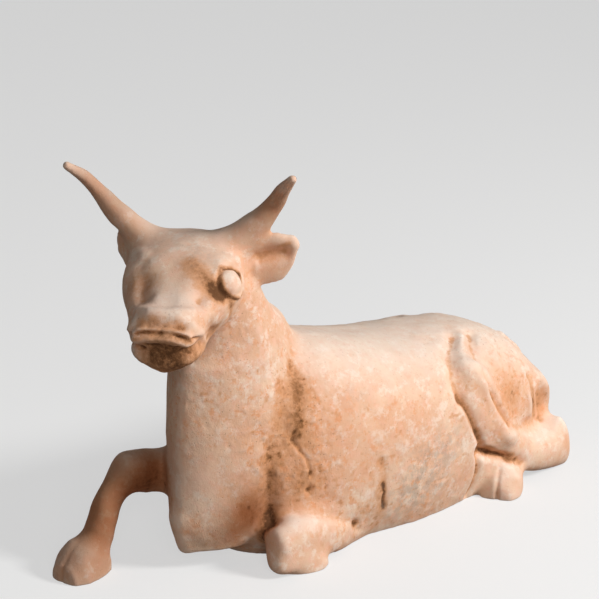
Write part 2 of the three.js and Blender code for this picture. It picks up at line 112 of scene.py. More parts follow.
def smooth_curve(points, count):
    """A smooth curve through the points, at count + 1 places."""
    points = np.array(points, float)
    ends = np.vstack([2 * points[0] - points[1], points, 2 * points[-1] - points[-2]])
    places = []
    for share in np.linspace(0, 1, count + 1):
        place = share * (len(points) - 1)
        k = min(int(place), len(points) - 2)
        t = place - k
        p0, p1, p2, p3 = ends[k : k + 4]
        gap = [math.sqrt(np.linalg.norm(b - a)) for a, b in ((p0, p1), (p1, p2), (p2, p3))]
        middle = gap[1] if gap[1] > SAME_PLACE else 1.0
        gap = [g if g > SAME_PLACE else middle for g in gap]
        leave = ((p1 - p0) / gap[0] - (p2 - p0) / (gap[0] + gap[1]) + (p2 - p1) / gap[1]) * gap[1]
        arrive = ((p2 - p1) / gap[1] - (p3 - p1) / (gap[1] + gap[2]) + (p3 - p2) / gap[2]) * gap[1]
        bend = -3 * p1 + 3 * p2 - 2 * leave - arrive
        twist = 2 * p1 - 2 * p2 + leave + arrive
        places.append(p1 + leave * t + bend * t**2 + twist * t**3)
    return np.array(places)


def oval_outline(square, sides):
    """Unit oval: across, above, and whether each corner is in the upper half."""
    angle = np.arange(sides) / sides * 2 * math.pi
    c, s = np.cos(angle), np.sin(angle)
    power = np.where(s > 0, 2 / square[0], 2 / square[1])
    return np.sign(c) * np.abs(c) ** power, np.sign(s) * np.abs(s) ** power, s > 0


def tube_faces(rows, around, closed=False):
    """Faces between rows of points, and from the last row to the first if it is closed."""
    faces = []
    for i in range(rows if closed else rows - 1):
        here, there = i * around, (i + 1) % rows * around
        for j in range(around):
            k = (j + 1) % around
            faces.append((here + j, here + k, there + k, there + j))
    return faces


def loft(rings, domes, side=(0, 1, 0), square=(2.2, 2.2), sides=56, steps=6, dome_rings=5):
    """A closed form through rings of (centre, half width, reach up, reach down)."""
    count = (len(rings) - 1) * steps
    path = smooth_curve([r[0] for r in rings], count)
    reach = smooth_curve([r[1:] for r in rings], count)
    along = unit(np.gradient(path, axis=0))
    ovals = list(zip(path, along, reach))
    for end, length, way in ((0, domes[0], -1), (-1, domes[1], 1)):
        extra = []
        for k in range(1, dome_rings + 1):
            turn = k / (dome_rings + 1) * math.pi / 2
            at = path[end] + way * length * math.sin(turn) * along[end]
            extra.append((at, along[end], reach[end] * math.cos(turn)))
        ovals = extra[::-1] + ovals if way < 0 else ovals + extra
    across_unit, above_unit, upper = oval_outline(square, sides)
    points = []
    for at, ahead, (wide, up, down) in ovals:
        above = np.cross(ahead, side)
        above /= np.linalg.norm(above)
        across = np.cross(above, ahead)
        tall = above_unit * np.where(upper, up, down)
        points.append(at + np.outer(across_unit * wide, across) + np.outer(tall, above))
    points = np.vstack(points + [path[0] - domes[0] * along[0], path[-1] + domes[1] * along[-1]])
    faces = tube_faces(len(ovals), sides)
    first = len(ovals) * sides
    last, end_row = first + 1, first - sides
    for j in range(sides):
        k = (j + 1) % sides
        faces += [(first, k, j), (last, end_row + j, end_row + k)]
    return points, faces


def turned(axis, degrees):
    return np.array(Matrix.Rotation(math.radians(degrees), 3, axis))


HEAD_AXES = turned("Z", HEAD_TURN) @ turned("Y", HEAD_DROOP) @ turned("X", -HEAD_LEAN)
FACE_FORWARD, FACE_LEFT, FACE_UP = HEAD_AXES.T


def on_head(forward, left, up):
    return POLL + HEAD_AXES @ np.array([forward, left, up], float)


# Rings of each form, from one end to the other, as shares of the sizes above.
# Barrel: place along it, half width, reach up, reach down.
BARREL_RINGS = (
    (0.0, 0.3, 0.0, 0.6),
    (0.022, 0.5, 0.08, 0.7),
    (0.06, 0.67, 0.26, 0.76),
    (0.155, 0.84, 0.63, 0.86),
    (0.263, 0.94, 0.79, 0.96),
    (0.38, 1.0, 0.84, 1.06),
    (0.51, 1.03, 0.9, 1.1),
    (0.65, 1.01, 1.02, 0.98),
    (0.765, 0.95, 1.14, 0.9),
    (0.863, 0.83, 1.14, 0.86),
    (0.94, 0.66, 0.86, 0.72),
    (1.0, 0.44, 0.54, 0.5),
)
# Neck: climb, lean, half width, reach back, reach forward.
NECK_RINGS = (
    (0.0, 0.0, 0.74, 0.6, 1.05),
    (0.12, 0.0, 0.89, 0.85, 1.22),
    (0.4, 0.0, 0.95, 1.05, 1.19),
    (0.62, 0.1, 0.9, 1.34, 1.13),
    (0.76, 0.4, 0.82, 1.37, 1.0),
    (0.86, 0.7, 0.74, 0.92, 0.72),
    (1.0, 1.0, 0.66, 0.62, 0.62),
)
# Skull and jaw: place along, depth below the crown, half width, reach up, reach down.
SKULL_RINGS = (
    (0.0, 0.0, 0.58, 0.7, 0.8),
    (0.1, 0.0, 0.83, 0.95, 1.2),
    (0.24, 0.0, 0.97, 1.05, 1.5),
    (0.4, 0.05, 1.0, 1.0, 1.6),
    (0.54, 0.15, 0.91, 0.85, 1.45),
    (0.68, 0.25, 0.74, 0.72, 0.95),
    (0.82, 0.25, 0.62, 0.64, 0.5),
    (0.94, 0.28, 0.6, 0.58, 0.34),
    (1.0, 0.28, 0.52, 0.45, 0.28),
)
JAW_RINGS = (
    (0.0, 2.5, 0.9, 0.8, 0.7),
    (0.35, 2.3, 1.0, 1.1, 1.0),
    (0.7, 2.15, 1.0, 1.2, 1.15),
    (0.88, 2.0, 0.97, 1.1, 1.15),
    (1.0, 1.88, 0.88, 0.6, 0.8),
)
# Horn: forward, spread, rise, radius. Ear: place along, half width.
HORN_RINGS = (
    (0.18, -0.1, -0.26, 1.0),
    (0.09, 0.22, -0.03, 0.8),
    (-0.09, 0.5, 0.22, 0.56),
    (-0.18, 0.68, 0.45, 0.44),
    (0.27, 0.82, 0.71, 0.34),
    (1.27, 1.0, 1.0, 0.2),
)
EAR_RINGS = ((-0.15, 0.7), (0.2, 0.88), (0.45, 1.0), (0.75, 0.75), (1.0, 0.3))
# Hoof: place along, width, height.
HOOF_RINGS = ((0.0, 0.8, 0.92), (0.35, 0.98, 1.0), (0.75, 1.0, 0.76), (1.0, 0.76, 0.45))


def barrel():
    rings = []
    for along, wide, up, down in BARREL_RINGS:
        at = (RUMP_X + along * BARREL_LENGTH, 0, BARREL_MIDDLE)
        rings.append((at, wide * BARREL_HALF_WIDTH, up * BARREL_RISE, down * BARREL_DROP))
    return loft(rings, (4, 8), square=(2.3, 2.5), sides=96, steps=10)


def neck():
    rings = []
    for climb, lean, wide, back, front in NECK_RINGS:
        at = NECK_FOOT + (NAPE - NECK_FOOT) * np.array([lean, lean, climb])
        rings.append((at, wide * NECK_HALF_WIDTH, back * NECK_HALF_DEPTH, front * NECK_HALF_DEPTH))
    across = turned("Z", NECK_TURN) @ np.array([0, 1, 0])
    return loft(rings, (2, 12), side=across, square=(2, 1.5), sides=80, steps=8)


def skull():
    rings = []
    for along, dip, wide, up, down in SKULL_RINGS:
        at = on_head(along * HEAD_LENGTH - HEAD_BACK, 0, -(1 + dip) * HEAD_HALF_HEIGHT)
        rings.append((at, wide * HEAD_HALF_WIDTH, up * HEAD_HALF_HEIGHT, down * HEAD_HALF_HEIGHT))
    return loft(rings, (5, 3), side=FACE_LEFT, square=(2.4, 2.2))


def jaw():
    rings = []
    for along, depth, wide, up, down in JAW_RINGS:
        at = on_head(JAW_BACK + along * JAW_LENGTH, 0, -depth * HEAD_HALF_HEIGHT)
        rings.append((at, wide * JAW_HALF_WIDTH, up * JAW_HALF_HEIGHT, down * JAW_HALF_HEIGHT))
    return loft(rings, (4, 3), side=FACE_LEFT, square=(2.4, 1.4))


def horn(side):
    tip_spread, tip_rise, fullness = HORNS[side]
    rings = []
    for ahead, spread, rise, share in HORN_RINGS:
        radius = share * fullness * HORN_ROOT_RADIUS
        left = side * (HORN_ROOT_SPREAD + spread * (tip_spread - HORN_ROOT_SPREAD))
        at = on_head(ahead * HORN_ROOT_RADIUS, left, rise * tip_rise)
        rings.append((at, radius, radius, radius))
    return loft(rings, (2, 2), side=FACE_FORWARD, sides=36)


def ear(side):
    length, fullness = EARS[side]
    rings = []
    for along, wide in EAR_RINGS:
        left = side * (HEAD_HALF_WIDTH - EAR_ROOT_INSET + along * length)
        up = along * EAR_RISE - EAR_ROOT_DROP
        at = on_head(EAR_ROOT_AHEAD - along * EAR_SWEEP_BACK, left, up)
        rings.append((at, wide * fullness * EAR_HALF_WIDTH, EAR_HALF_THICKNESS, EAR_HALF_THICKNESS))
    return loft(rings, (3, 3), side=FACE_UP, sides=40)


def at_eye(side, points):
    """Points about an eye's own middle, looking along Y, put in place on the head."""
    points = points @ turned("X", side * EYE_TILT).T @ turned("Z", -side * EYE_TURN).T @ HEAD_AXES.T
    return points + on_head(EYE_AHEAD, side * (HEAD_HALF_WIDTH - EYE_SEAT_DEPTHS[side]), -EYE_DROP)


def eyeball(side):
    rings = []
    for turn in np.linspace(-1.4, 1.4, 9):
        radius = EYE_RADIUS * math.cos(turn)
        rings.append(((0, EYE_HALF_DEPTH * math.sin(turn), 0), radius, radius, radius))
    across = (1, 0, 0)
    points, faces = loft(rings, (0.3, 0.3), across, (2, 2), sides=32, steps=2, dome_rings=2)
    return at_eye(side, points), faces


def eyelid(side):
    sides, around = 48, 14
    turn = np.repeat(np.arange(sides) / sides * 2 * math.pi, around)
    roll = np.tile(np.arange(around) / around * 2 * math.pi, sides)
    far = EYE_RADIUS + EYELID_RADIUS + EYELID_RADIUS * np.cos(roll)
    out = side * EYELID_OUT + EYELID_RADIUS * np.sin(roll)
    points = np.stack([far * np.cos(turn), out, far * np.sin(turn)], 1)
    return at_eye(side, points), tube_faces(sides, around, closed=True)


def from_ground(share):
    return share * BARREL_MIDDLE


def from_middle(share):
    return BARREL_MIDDLE + share * BARREL_RISE


def beside_barrel(end, side, ahead, out, height):
    return np.array([end + ahead * BARREL_LENGTH, side * out * BARREL_HALF_WIDTH, height])


def limb(end, side, radius, stations, height=from_ground, sides=44):
    rings = []
    for ahead, out, up, wide, thick in stations:
        at = beside_barrel(end, side, ahead, out, height(up))
        rings.append((at, wide * radius, thick * radius, thick * radius))
    return loft(rings, (6, 6), sides=sides, steps=8)


def heading_axes(heading):
    """Directions along the ground: ahead and across, for a heading in degrees."""
    turn = math.radians(heading)
    ahead = np.array([math.cos(turn), math.sin(turn), 0])
    return ahead, np.array([-math.sin(turn), math.cos(turn), 0])


# Hooves: the heel, the heading of the toe, the scale and the depth of the cleft.
HOOVES = {
    "right_fore_hoof": (beside_barrel(CHEST_X, RIGHT, 0.21, 0.48, 0), 10, 1.0, 0.5),
    "left_fore_hoof": (beside_barrel(CHEST_X, LEFT, -0.082, 0.89, 0), 180, 0.8, 0.6),
    "left_hind_hoof": (beside_barrel(RUMP_X, LEFT, 0.231, 0.8, 0), 33, 1.0, 1.2),
    "right_hind_hoof": (beside_barrel(RUMP_X, RIGHT, 0.231, 0.8, 0), -33, 1.0, 1.8),
}


def hoof(name):
    heel, heading, scale, _ = HOOVES[name]
    ahead, across = heading_axes(heading)
    rings = []
    for share, wide, high in HOOF_RINGS:
        at = heel + share * scale * HOOF_LENGTH * ahead
        rings.append((at, wide * scale * HOOF_WIDTH / 2, high * scale * HOOF_HEIGHT, 3))
    return loft(rings, (3, 3), side=across, square=(2.4, 2.4), sides=48, steps=8)


# Limbs: place ahead, place out, height, half width, half thickness.
RIGHT_FOREARM = (
    (-0.107, 0.5, 0.84, 1.03, 1.03),
    (-0.014, 0.5, 0.9, 0.96, 1.03),
    (0.078, 0.47, 1.02, 0.9, 1.0),
    (0.149, 0.45, 1.12, 0.9, 0.93),
)
RIGHT_SHANK = (
    (0.16, 0.45, 1.02, 0.9, 0.9),
    (0.181, 0.45, 0.84, 0.9, 1.0),
    (0.203, 0.45, 0.56, 0.85, 0.9),
    (0.221, 0.45, 0.32, 1.0, 1.1),
)
LEFT_KNEE = (
    (-0.3, 0.67, 0.24, 0.8, 1.13),
    (-0.208, 0.78, 0.28, 0.8, 1.07),
    (-0.122, 0.83, 0.34, 0.87, 1.07),
    (-0.052, 0.82, 0.31, 0.93, 1.05),
)
LEFT_SHANK = (
    (-0.044, 0.86, 0.16, 1.2, 0.8),
    (-0.082, 0.91, 0.14, 1.0, 0.7),
    (-0.114, 0.91, 0.14, 1.0, 0.7),
)
HAUNCH = (
    (0.375, 0.73, 0.59, 0.62, 0.46),
    (0.363, 0.8, 0.53, 0.77, 0.77),
    (0.327, 0.83, 0.23, 0.92, 0.92),
    (0.278, 0.85, -0.17, 0.92, 1.08),
)
HIND_SHANK = (
    (0.274, 0.85, 0.56, 0.8, 0.86),
    (0.196, 0.83, 0.4, 0.86, 0.93),
    (0.103, 0.82, 0.32, 0.95, 1.12),
    (0.06, 0.8, 0.36, 0.86, 1.42),
)
# The tail, with its heights in millimetres.
TAIL = (
    (0.089, 0, 78.7, 1, 1),
    (0.025, 0.02, 64, 1, 1),
    (-0.007, 0.07, 46, 1, 1),
    (-0.007, 0.15, 26, 1, 1),
    (0.007, 0.3, 11, 1.4, 1.4),
    (0.025, 0.53, 5, 1, 1),
)

# Each form, and how wide the clay is smoothed where it joins another, in millimetres.
forms = {
    "torso": (barrel(), CHEST_BLEND),
    "neck": (neck(), CHEST_BLEND),
    "skull": (skull(), 20),
    "jaw": (jaw(), 5),
    "left_horn": (horn(LEFT), 20),
    "right_horn": (horn(RIGHT), 20),
    "left_eye": (eyeball(LEFT), 1.2),
    "right_eye": (eyeball(RIGHT), 1.2),
    "left_eyelid": (eyelid(LEFT), 3.5),
    "right_eyelid": (eyelid(RIGHT), 4.5),
    "left_ear": (ear(LEFT), 4),
    "right_ear_stub": (ear(RIGHT), 6),
    "right_fore_upper": (limb(CHEST_X, RIGHT, FOREARM_RADIUS, RIGHT_FOREARM), 16),
    "right_fore_shank": (limb(CHEST_X, RIGHT, SHANK_RADIUS, RIGHT_SHANK), 16),
    "right_fore_hoof": (hoof("right_fore_hoof"), 5),
    "left_fore_upper": (limb(CHEST_X, LEFT, TUCKED_KNEE_RADIUS, LEFT_KNEE), 8),
    "left_fore_shank": (limb(CHEST_X, LEFT, SHANK_RADIUS, LEFT_SHANK), 4),
    "left_fore_hoof": (hoof("left_fore_hoof"), 4),
    "left_hind_upper": (limb(RUMP_X, LEFT, THIGH_RADIUS, HAUNCH, from_middle), 7),
    "left_hind_shank": (limb(RUMP_X, LEFT, HOCK_RADIUS, HIND_SHANK), 12),
    "left_hind_hoof": (hoof("left_hind_hoof"), 4),
    "right_hind_upper": (limb(RUMP_X, RIGHT, THIGH_RADIUS, HAUNCH, from_middle), 7),
    "right_hind_shank": (limb(RUMP_X, RIGHT, HOCK_RADIUS, HIND_SHANK), 12),
    "right_hind_hoof": (hoof("right_hind_hoof"), 4),
    "tail": (limb(RUMP_X, RIGHT, TAIL_RADIUS, TAIL, float, sides=32), 3),
}
FORM_NAMES = list(forms)


def remeshed(pieces, grain):
    """The outside of several closed forms together, as points and four-sided faces."""
    points, faces, start = [], [], 0
    for p, f in pieces:
        points.append(p)
        faces += [tuple(i + start for i in face) for face in f]
        start += len(p)
    mesh = bpy.data.meshes.new("lump")
    mesh.from_pydata(np.vstack(points).tolist(), [], faces)
    lump = bpy.data.objects.new("lump", mesh)
    scene.collection.objects.link(lump)
    remesh = lump.modifiers.new("remesh", "REMESH")
    remesh.mode = "VOXEL"
    remesh.voxel_size = grain
    bpy.context.view_layer.update()
    view = bpy.context.evaluated_depsgraph_get()
    skin = bpy.data.meshes.new_from_object(lump.evaluated_get(view))
    co = np.zeros(len(skin.vertices) * 3)
    skin.vertices.foreach_get("co", co)
    corners = np.zeros(len(skin.loops), int)
    skin.loops.foreach_get("vertex_index", corners)
    bpy.data.objects.remove(lump)
    bpy.data.meshes.remove(mesh)
    bpy.data.meshes.remove(skin)
    return co.reshape(-1, 3), corners.reshape(-1, 4)


def sides_of(faces):
    """The sides of all the faces, as pairs of points: each face's first side, then the second."""
    return np.vstack([faces[:, [k, (k + 1) % 4]] for k in range(4)])


class Skin:
    def __init__(self, points, faces):
        self.points, self.faces = points, faces
        self.edges = np.unique(np.sort(sides_of(faces), 1), axis=0)
        self.count = np.bincount(self.edges.ravel(), minlength=len(points)).astype(float)

    def neighbour_mean(self, values):
        a, b = self.edges.T
        columns = values.reshape(len(values), -1)
        total = np.empty_like(columns)
        for k in range(columns.shape[1]):
            v = columns[:, k]
            total[:, k] = np.bincount(a, v[b], len(v)) + np.bincount(b, v[a], len(v))
        return (total / self.count[:, None]).reshape(values.shape)

    def apart(self, place):
        return np.linalg.norm(self.points - place, axis=1)

    def fade(self, place, reach):
        """1 at a place, falling evenly to 0 at the reach."""
        return np.clip(1 - self.apart(place) / reach, 0, 1)

    def near(self, place, reach):
        """1 at a place, falling softly away around it."""
        return np.exp(-((self.apart(place) / reach) ** 2))

    def near_all(self, places):
        """The sum over places of (place, reach, amount)."""
        return sum(amount * self.near(place, reach) for place, reach, amount in places)

    def smoothed(self, values, times, weight=1.0):
        weight = np.broadcast_to(weight, len(values)).reshape((-1,) + (1,) * (values.ndim - 1))
        for _ in range(times):
            values = values + 0.7 * weight * (self.neighbour_mean(values) - values)
        return values

    def normals(self):
        p = self.points[self.faces]
        face = np.cross(p[:, 2] - p[:, 0], p[:, 3] - p[:, 1])
        total = np.empty_like(self.points)
        corners = self.faces.ravel()
        for k in range(3):
            total[:, k] = np.bincount(corners, np.repeat(face[:, k], 4), len(self.points))
        return total / np.maximum(np.linalg.norm(total, axis=1), 1e-12)[:, None]


skin = Skin(*remeshed([form for form, _ in forms.values()], SKIN_GRAIN))


def distances_to_forms(points, reach):
    """How far each point is from each form, for those within reach."""
    far = np.full((len(forms), len(points)), 1e3)
    for row, ((p, f), _) in enumerate(forms.values()):
        tree = BVHTree.FromPolygons(p.tolist(), f)
        low, high = p.min(0) - reach, p.max(0) + reach
        near = np.where(((points > low) & (points < high)).all(1))[0]
        for i in near:
            found = tree.find_nearest(points[i], reach)
            if found[3] is not None:
                far[row, i] = found[3]
    return far


away = distances_to_forms(skin.points, FORM_REACH)
owner = away.argmin(0)
widths = np.array([width for _, width in forms.values()], float)

# Where two forms meet, the clay is worked over with a finger, so the crease becomes a hollow.
# The front of the chest hangs like a board, and its lower edges stay sharp.
work = np.zeros(len(skin.points))
board_edge = np.clip((skin.points[:, 2] - BOARD_FOOT) / BOARD_RISE, BOARD_LEAST, 1)
for row in range(len(forms)):
    meet = np.minimum(widths[row], widths[owner])
    meet = np.where(meet == CHEST_BLEND, meet * board_edge, meet)
    near = np.clip(1 - away[row] / meet, 0, 1) * (owner != row)
    work = np.maximum(work, near * near * (3 - 2 * near))
skin.points = skin.smoothed(skin.points, CREASE_PASSES, np.minimum(1, work * CREASE_GAIN))
skin.points = skin.smoothed(skin.points, LAST_PASSES)
# Where the clay was rubbed smooth with a thumb: place, reach and how often.
RUBBED_SPOTS = (
    ((90, 50, 14), 14, 30),
    ((88, 44, 28), 12, 60),
    ((93, 56, 6), 9, 80),
    (on_head(36, -27, -14), 13, 60),
    ((150, -26, 50), 16, 50),
    ((-176, 24, 34), 18, 60),
    ((-176, -24, 34), 18, 60),
    ((44, 0, 148), 24, 120),
    ((-76, 44, 94), 16, 70),
    ((-76, -44, 94), 16, 70),
    ((-104, 57, 14), 16, 50),
    ((-108, 64, 16), 9, 70),
    ((-104, -57, 14), 16, 30),
)
for place, reach, times in RUBBED_SPOTS:
    skin.points = skin.smoothed(skin.points, times, skin.near(place, reach))


def hashed(cell, seed):
    """An even scatter of values from -1 to 1, one for each cell of a grid."""
    x, y, z = cell.T
    mixed = (x * 73856093) ^ (y * 19349663) ^ (z * 83492791) ^ (seed * 2654435)
    mixed = (mixed ^ (mixed >> 13)) * 1274126177
    return ((mixed ^ (mixed >> 16)) & 0xFFFF) / 32767.5 - 1


def lumps(points, size, seed):
    """Smooth noise from -1 to 1, with lumps of the given size in millimetres."""
    p = points / size + 1000
    cell = np.floor(p).astype(np.int64)
    part = p - cell
    part = part * part * (3 - 2 * part)
    total = 0
    for corner in itertools.product((0, 1), repeat=3):
        weight = np.prod(np.where(corner, part, 1 - part), 1)
        total = total + weight * hashed(cell + corner, seed)
    return total


# How far a hand strays from a line, and how its pressure changes along it.
WAVER_SIZE, WAVER_SHARE, PRESS_SIZE = 11, 0.3, 9


def swell(line, width, seed):
    """1 on a line over the skin, and falling away to the sides, with the unevenness of a hand."""
    line = np.array(line, float)
    if len(line) == 1:
        line = np.vstack([line, line + 0.01])
    reach = 3 * width + 2
    low, high = line.min(0) - reach, line.max(0) + reach
    inside = np.where(((skin.points > low) & (skin.points < high)).all(1))[0]
    near = skin.points[inside]
    waver = np.stack([lumps(near, WAVER_SIZE, seed + k) for k in range(3)], 1)
    near = near + waver * WAVER_SHARE * width
    best = np.zeros(len(near))
    for a, b in zip(line[:-1], line[1:]):
        t = np.clip((near - a) @ (b - a) / ((b - a) @ (b - a)), 0, 1)
        apart = np.linalg.norm(near - a - t[:, None] * (b - a), axis=1)
        facing = soft_normals[inside[apart.argmin()]]
        same_side = np.clip(soft_normals[inside] @ facing * 2.5 - 0.4, 0, 1)
        best = np.maximum(best, np.exp(-((apart / width) ** 2)) * same_side)
    amount = np.zeros(len(skin.points))
    amount[inside] = best * (0.95 + 0.15 * lumps(near, PRESS_SIZE, seed + 7))
    return amount


def head_line(line):
    return [on_head(*place) for place in line]


def mirrored(line):
    return [(x, -y, z) for x, y, z in line]


# Marks on the body: line, half width and height in millimetres. A height below zero is a groove.
BOTH_SIDES = (
    ([(-85, 27, 103), (-73, 36, 100), (-66, 43, 96), (-62, 50, 88), (-63, 57, 75)], 4.4, -2.4),
    ([(-63, 57, 77), (-68, 59, 66), (-74, 59, 54), (-82, 59, 39)], 2.6, -3.4),
    ([(-79, 59, 36), (-87, 58, 33), (-96, 57, 28), (-103, 60, 25), (-113, 61, 21)], 3.4, -6.0),
    ([(-92, 28, 102), (-82, 37, 98), (-74, 46, 94)], 5.0, 1.8),
    ([(-101, 26, 101), (-94, 37, 98), (-88, 48, 93), (-86, 56, 86)], 5.0, -2.6),
    ([(-87, 56, 87), (-91, 60, 74), (-98, 62, 60), (-106, 62, 50)], 3.2, -3.4),
    ([(-105, 63, 38), (-113, 62, 37), (-122, 60, 33)], 6.0, 4.0),
    ([(-112, 66, 20), (-118, 62, 17)], 4.5, -3.0),
    ([(-96, 62, 12), (-104, 66, 12)], 6.0, 2.0),
    ([(-106, 62, 47), (-122, 57, 41), (-138, 52, 38), (-150, 48, 37)], 3.4, -1.8),
    ([(-99, 48, 90), (-103, 52, 79), (-110, 54, 66), (-116, 55, 56)], 8.0, -1.4),
    ([(-75, 50, 90), (-73, 55, 80), (-78, 60, 66), (-86, 62, 50)], 5.0, 1.2),
    ([(-132, 46, 70), (-132, 50, 58), (-134, 51, 46)], 3.0, 1.8),
    ([(-138, 46, 68), (-139, 49, 56), (-142, 49, 43)], 3.4, -1.4),
    ([(-148, 46, 54), (-152, 46, 44)], 5.0, -2.2),
    ([(-154, 44, 64), (-160, 46, 52), (-167, 47, 40)], 5.0, 4.5),
    ([(-79, 59, 33), (-80, 57, 22), (-80, 54, 11), (-77, 52, 2)], 2.6, -3.0),
)
CHEST_FOLD = [(81, 40, 76), (81, 41, 56), (82, 41, 36), (84, 41, 18), (86, 39, 2)]
LEFT_SIDE = (
    (CHEST_FOLD, 3.2, -1.6),
    (CHEST_FOLD[1:], 5.0, -2.0),
    (CHEST_FOLD[2:], 7.5, -3.6),
    ([(127, 8, 34), (125, 9, 22), (121, 10, 13)], 7.0, 3.0),
    ([(84, 40, 31), (86, 41, 24)], 5.0, 3.0),
    ([(72, 44, 34), (66, 51, 33), (51, 56, 29), (38, 57, 23), (26, 55, 18), (20, 56, 10)],
     3.4, -1.4),
    ([(24, 55, 15)], 3.0, -1.6),
    ([(65, 44, 84), (67, 44, 79), (63, 47, 71), (60, 49, 67), (58, 50, 59), (57, 50, 54)],
     1.1, -1.2),
    ([(59, 50, 46)], 2.6, -2.2),
    ([(77, 39, 77)], 1.2, -0.9),
    ([(48, 53, 46)], 1.2, -0.8),
    ([(-136, 48, 70)], 1.8, -1.3),
    ([(-136, 50, 57)], 1.6, -1.2),
    ([(8, 60, 54), (5, 59, 46), (7, 59, 38), (4, 58, 30), (5, 58, 22)], 3.4, -0.9),
    ([(6, 59, 38), (4, 58, 32), (5, 58, 27), (3, 57, 20)], 1.0, -1.1),
    ([(56, 33, 121), (54, 36, 114), (57, 40, 107), (58, 43, 99)], 2.2, -0.8),
    ([(60, 38, 112), (64, 40, 100), (66, 43, 88)], 5.0, 0.8),
)
# Marks on the head, forwards, left and up from the poll. One that starts in the middle of the
# face runs to both sides, and one that stays in the middle is made once.
HEAD_BOTH = (
    ([(86, 0, -21), (86, 7, -21.5), (86, 13, -23), (81, 20, -26.5), (75, 22, -29)], 1.6, -2.6),
    ([(88, 0, -24), (88, 8, -24.5), (86, 14, -26.5)], 1.9, 1.0),
    ([(86, 0, -31), (85, 9, -32), (79, 16, -35)], 4.0, -3.2),
    ([(84, 0, -16.5), (83, 7, -17), (81, 12, -18.5)], 3.8, -3.0),
    ([(84, 6, -16), (82, 9.5, -15.5)], 1.8, -0.6),
    ([(78, 0, -12.5), (77, 8, -13.5)], 4.2, 1.4),
    ([(70, 20, -21), (79, 18, -22)], 4.5, -2.2),
    ([(74, 0, -11.5), (73, 9, -12), (69, 16, -15)], 3.4, 1.7),
    ([(62, 0, -9), (70, 0, -11)], 7.0, -0.8),
    ([(48, 20, -9), (57, 17, -14)], 6.0, -2.2),
    ([(34, 0, -1), (52, 0, -7)], 9.0, -0.6),
    ([(68, 8, -10), (56, 7, -6.5)], 4.0, 0.6),
    ([(26, 22, -3), (20, 26, -4), (15, 31, -8)], 4.5, 1.2),
)
HEAD_LEFT = (
    ([(77, 19, -20), (71, 20, -28), (61, 19, -38)], 3.0, 1.6),
    ([(60, 22, -27), (54, 22, -34), (50, 21, -42)], 3.4, -1.6),
    ([(45, 23, -11), (47, 25, -15), (44, 28, -20)], 3.4, -2.6),
    ([(40, 30, -17)], 1.4, -1.4),
    ([(7, 43, -13), (4, 50, -11), (3, 55, -10)], 5.0, -3.6),
    ([(2, 60, 2)], 4.0, -2.4),
    ([(40, 31, -26), (36, 30, -34), (26, 28, -46)], 2.2, -0.6),
    ([(33, 24, -3), (27, 28, -2), (20, 32, -5), (18, 36, -14), (22, 36, -24)], 3.4, 1.4),
)
HEAD_RIGHT = (
    ([(36, -22, -7), (47, -19, -11), (60, -15, -15)], 10.0, -1.6),
    ([(76, -19, -25), (66, -22, -30)], 4.0, 0.5),
    ([(82, -18, -20), (80, -18, -25)], 3.5, -1.6),
    ([(0, -43, -8), (-1, -44, -17)], 7.0, -2.6),
)


def eye_crease():
    """The crease round the left eyelid, with a small gap at the bottom."""
    turns = np.radians(np.linspace(-80, 260, 9))
    out = np.full(9, LEFT * EYE_CREASE_OUT)
    ring = np.stack([EYE_CREASE_RADIUS * np.cos(turns), out, EYE_CREASE_RADIUS * np.sin(turns)], 1)
    return on_skin(at_eye(LEFT, ring))


def on_skin(line):
    """The skin's own points that are nearest to a line's."""
    return [skin.points[skin.apart(place).argmin()] for place in line]


MARK_SEED, SOIL_AND_SHADE_SEED, SEED_STEP = 29, 900, 9


def all_marks():
    for line, width, height in BOTH_SIDES:
        yield line, width, height
        yield mirrored(line), width, height
    yield from LEFT_SIDE
    for line, width, height in HEAD_BOTH:
        starts_aside, ends_aside = line[0][1] != 0, line[-1][1] != 0
        if ends_aside and not starts_aside:
            yield head_line(mirrored(line)[:0:-1] + line), width, height
            continue
        yield head_line(line), width, height
        if ends_aside:
            yield head_line(mirrored(line)), width, height
    for line, width, height in HEAD_LEFT + HEAD_RIGHT:
        yield head_line(line), width, height
    yield eye_crease(), EYE_CREASE_WIDTH, EYE_CREASE_HEIGHT


soft_normals = unit(skin.smoothed(skin.normals(), 6))
for number, (line, width, height) in enumerate(all_marks()):
    amount = swell(line, width, MARK_SEED + SEED_STEP * number) * height
    skin.points = skin.points + amount[:, None] * soft_normals

# The fold between the chest and the shoulder is smoothed along its length.
FOLD_PASSES, FOLD_REACH, FOLD_SEED = 16, 7, 7
skin.points = skin.smoothed(skin.points, FOLD_PASSES, swell(CHEST_FOLD, FOLD_REACH, FOLD_SEED))

# The cleft of each hoof: a narrow cut in the toe.
CLEFT_WIDTH, TOE_HALF_WIDTH, BESIDE_HOOF = 1.5, 6, 1.3
TOE_START, TOE_LENGTH, TOE_LEAST = 0.45, 0.6, 0.4
for name, (heel, heading, scale, cleft) in HOOVES.items():
    place = (skin.points - heel) @ np.stack(heading_axes(heading), 1)
    length = scale * HOOF_LENGTH
    toe = np.clip((place[:, 0] - TOE_START * length) / (TOE_LENGTH * length), 0, 1)
    mine = (np.abs(place[:, 1]) < TOE_HALF_WIDTH) & (toe > TOE_LEAST)
    mine |= owner == FORM_NAMES.index(name)
    cut = np.exp(-((place[:, 1] / CLEFT_WIDTH) ** 2)) * toe * mine
    cut *= np.abs(place[:, 0]) < BESIDE_HOOF * HOOF_LENGTH
    cut *= skin.points[:, 2] < HOOF_HEIGHT
    skin.points = skin.points + (cut * -cleft)[:, None] * soft_normals

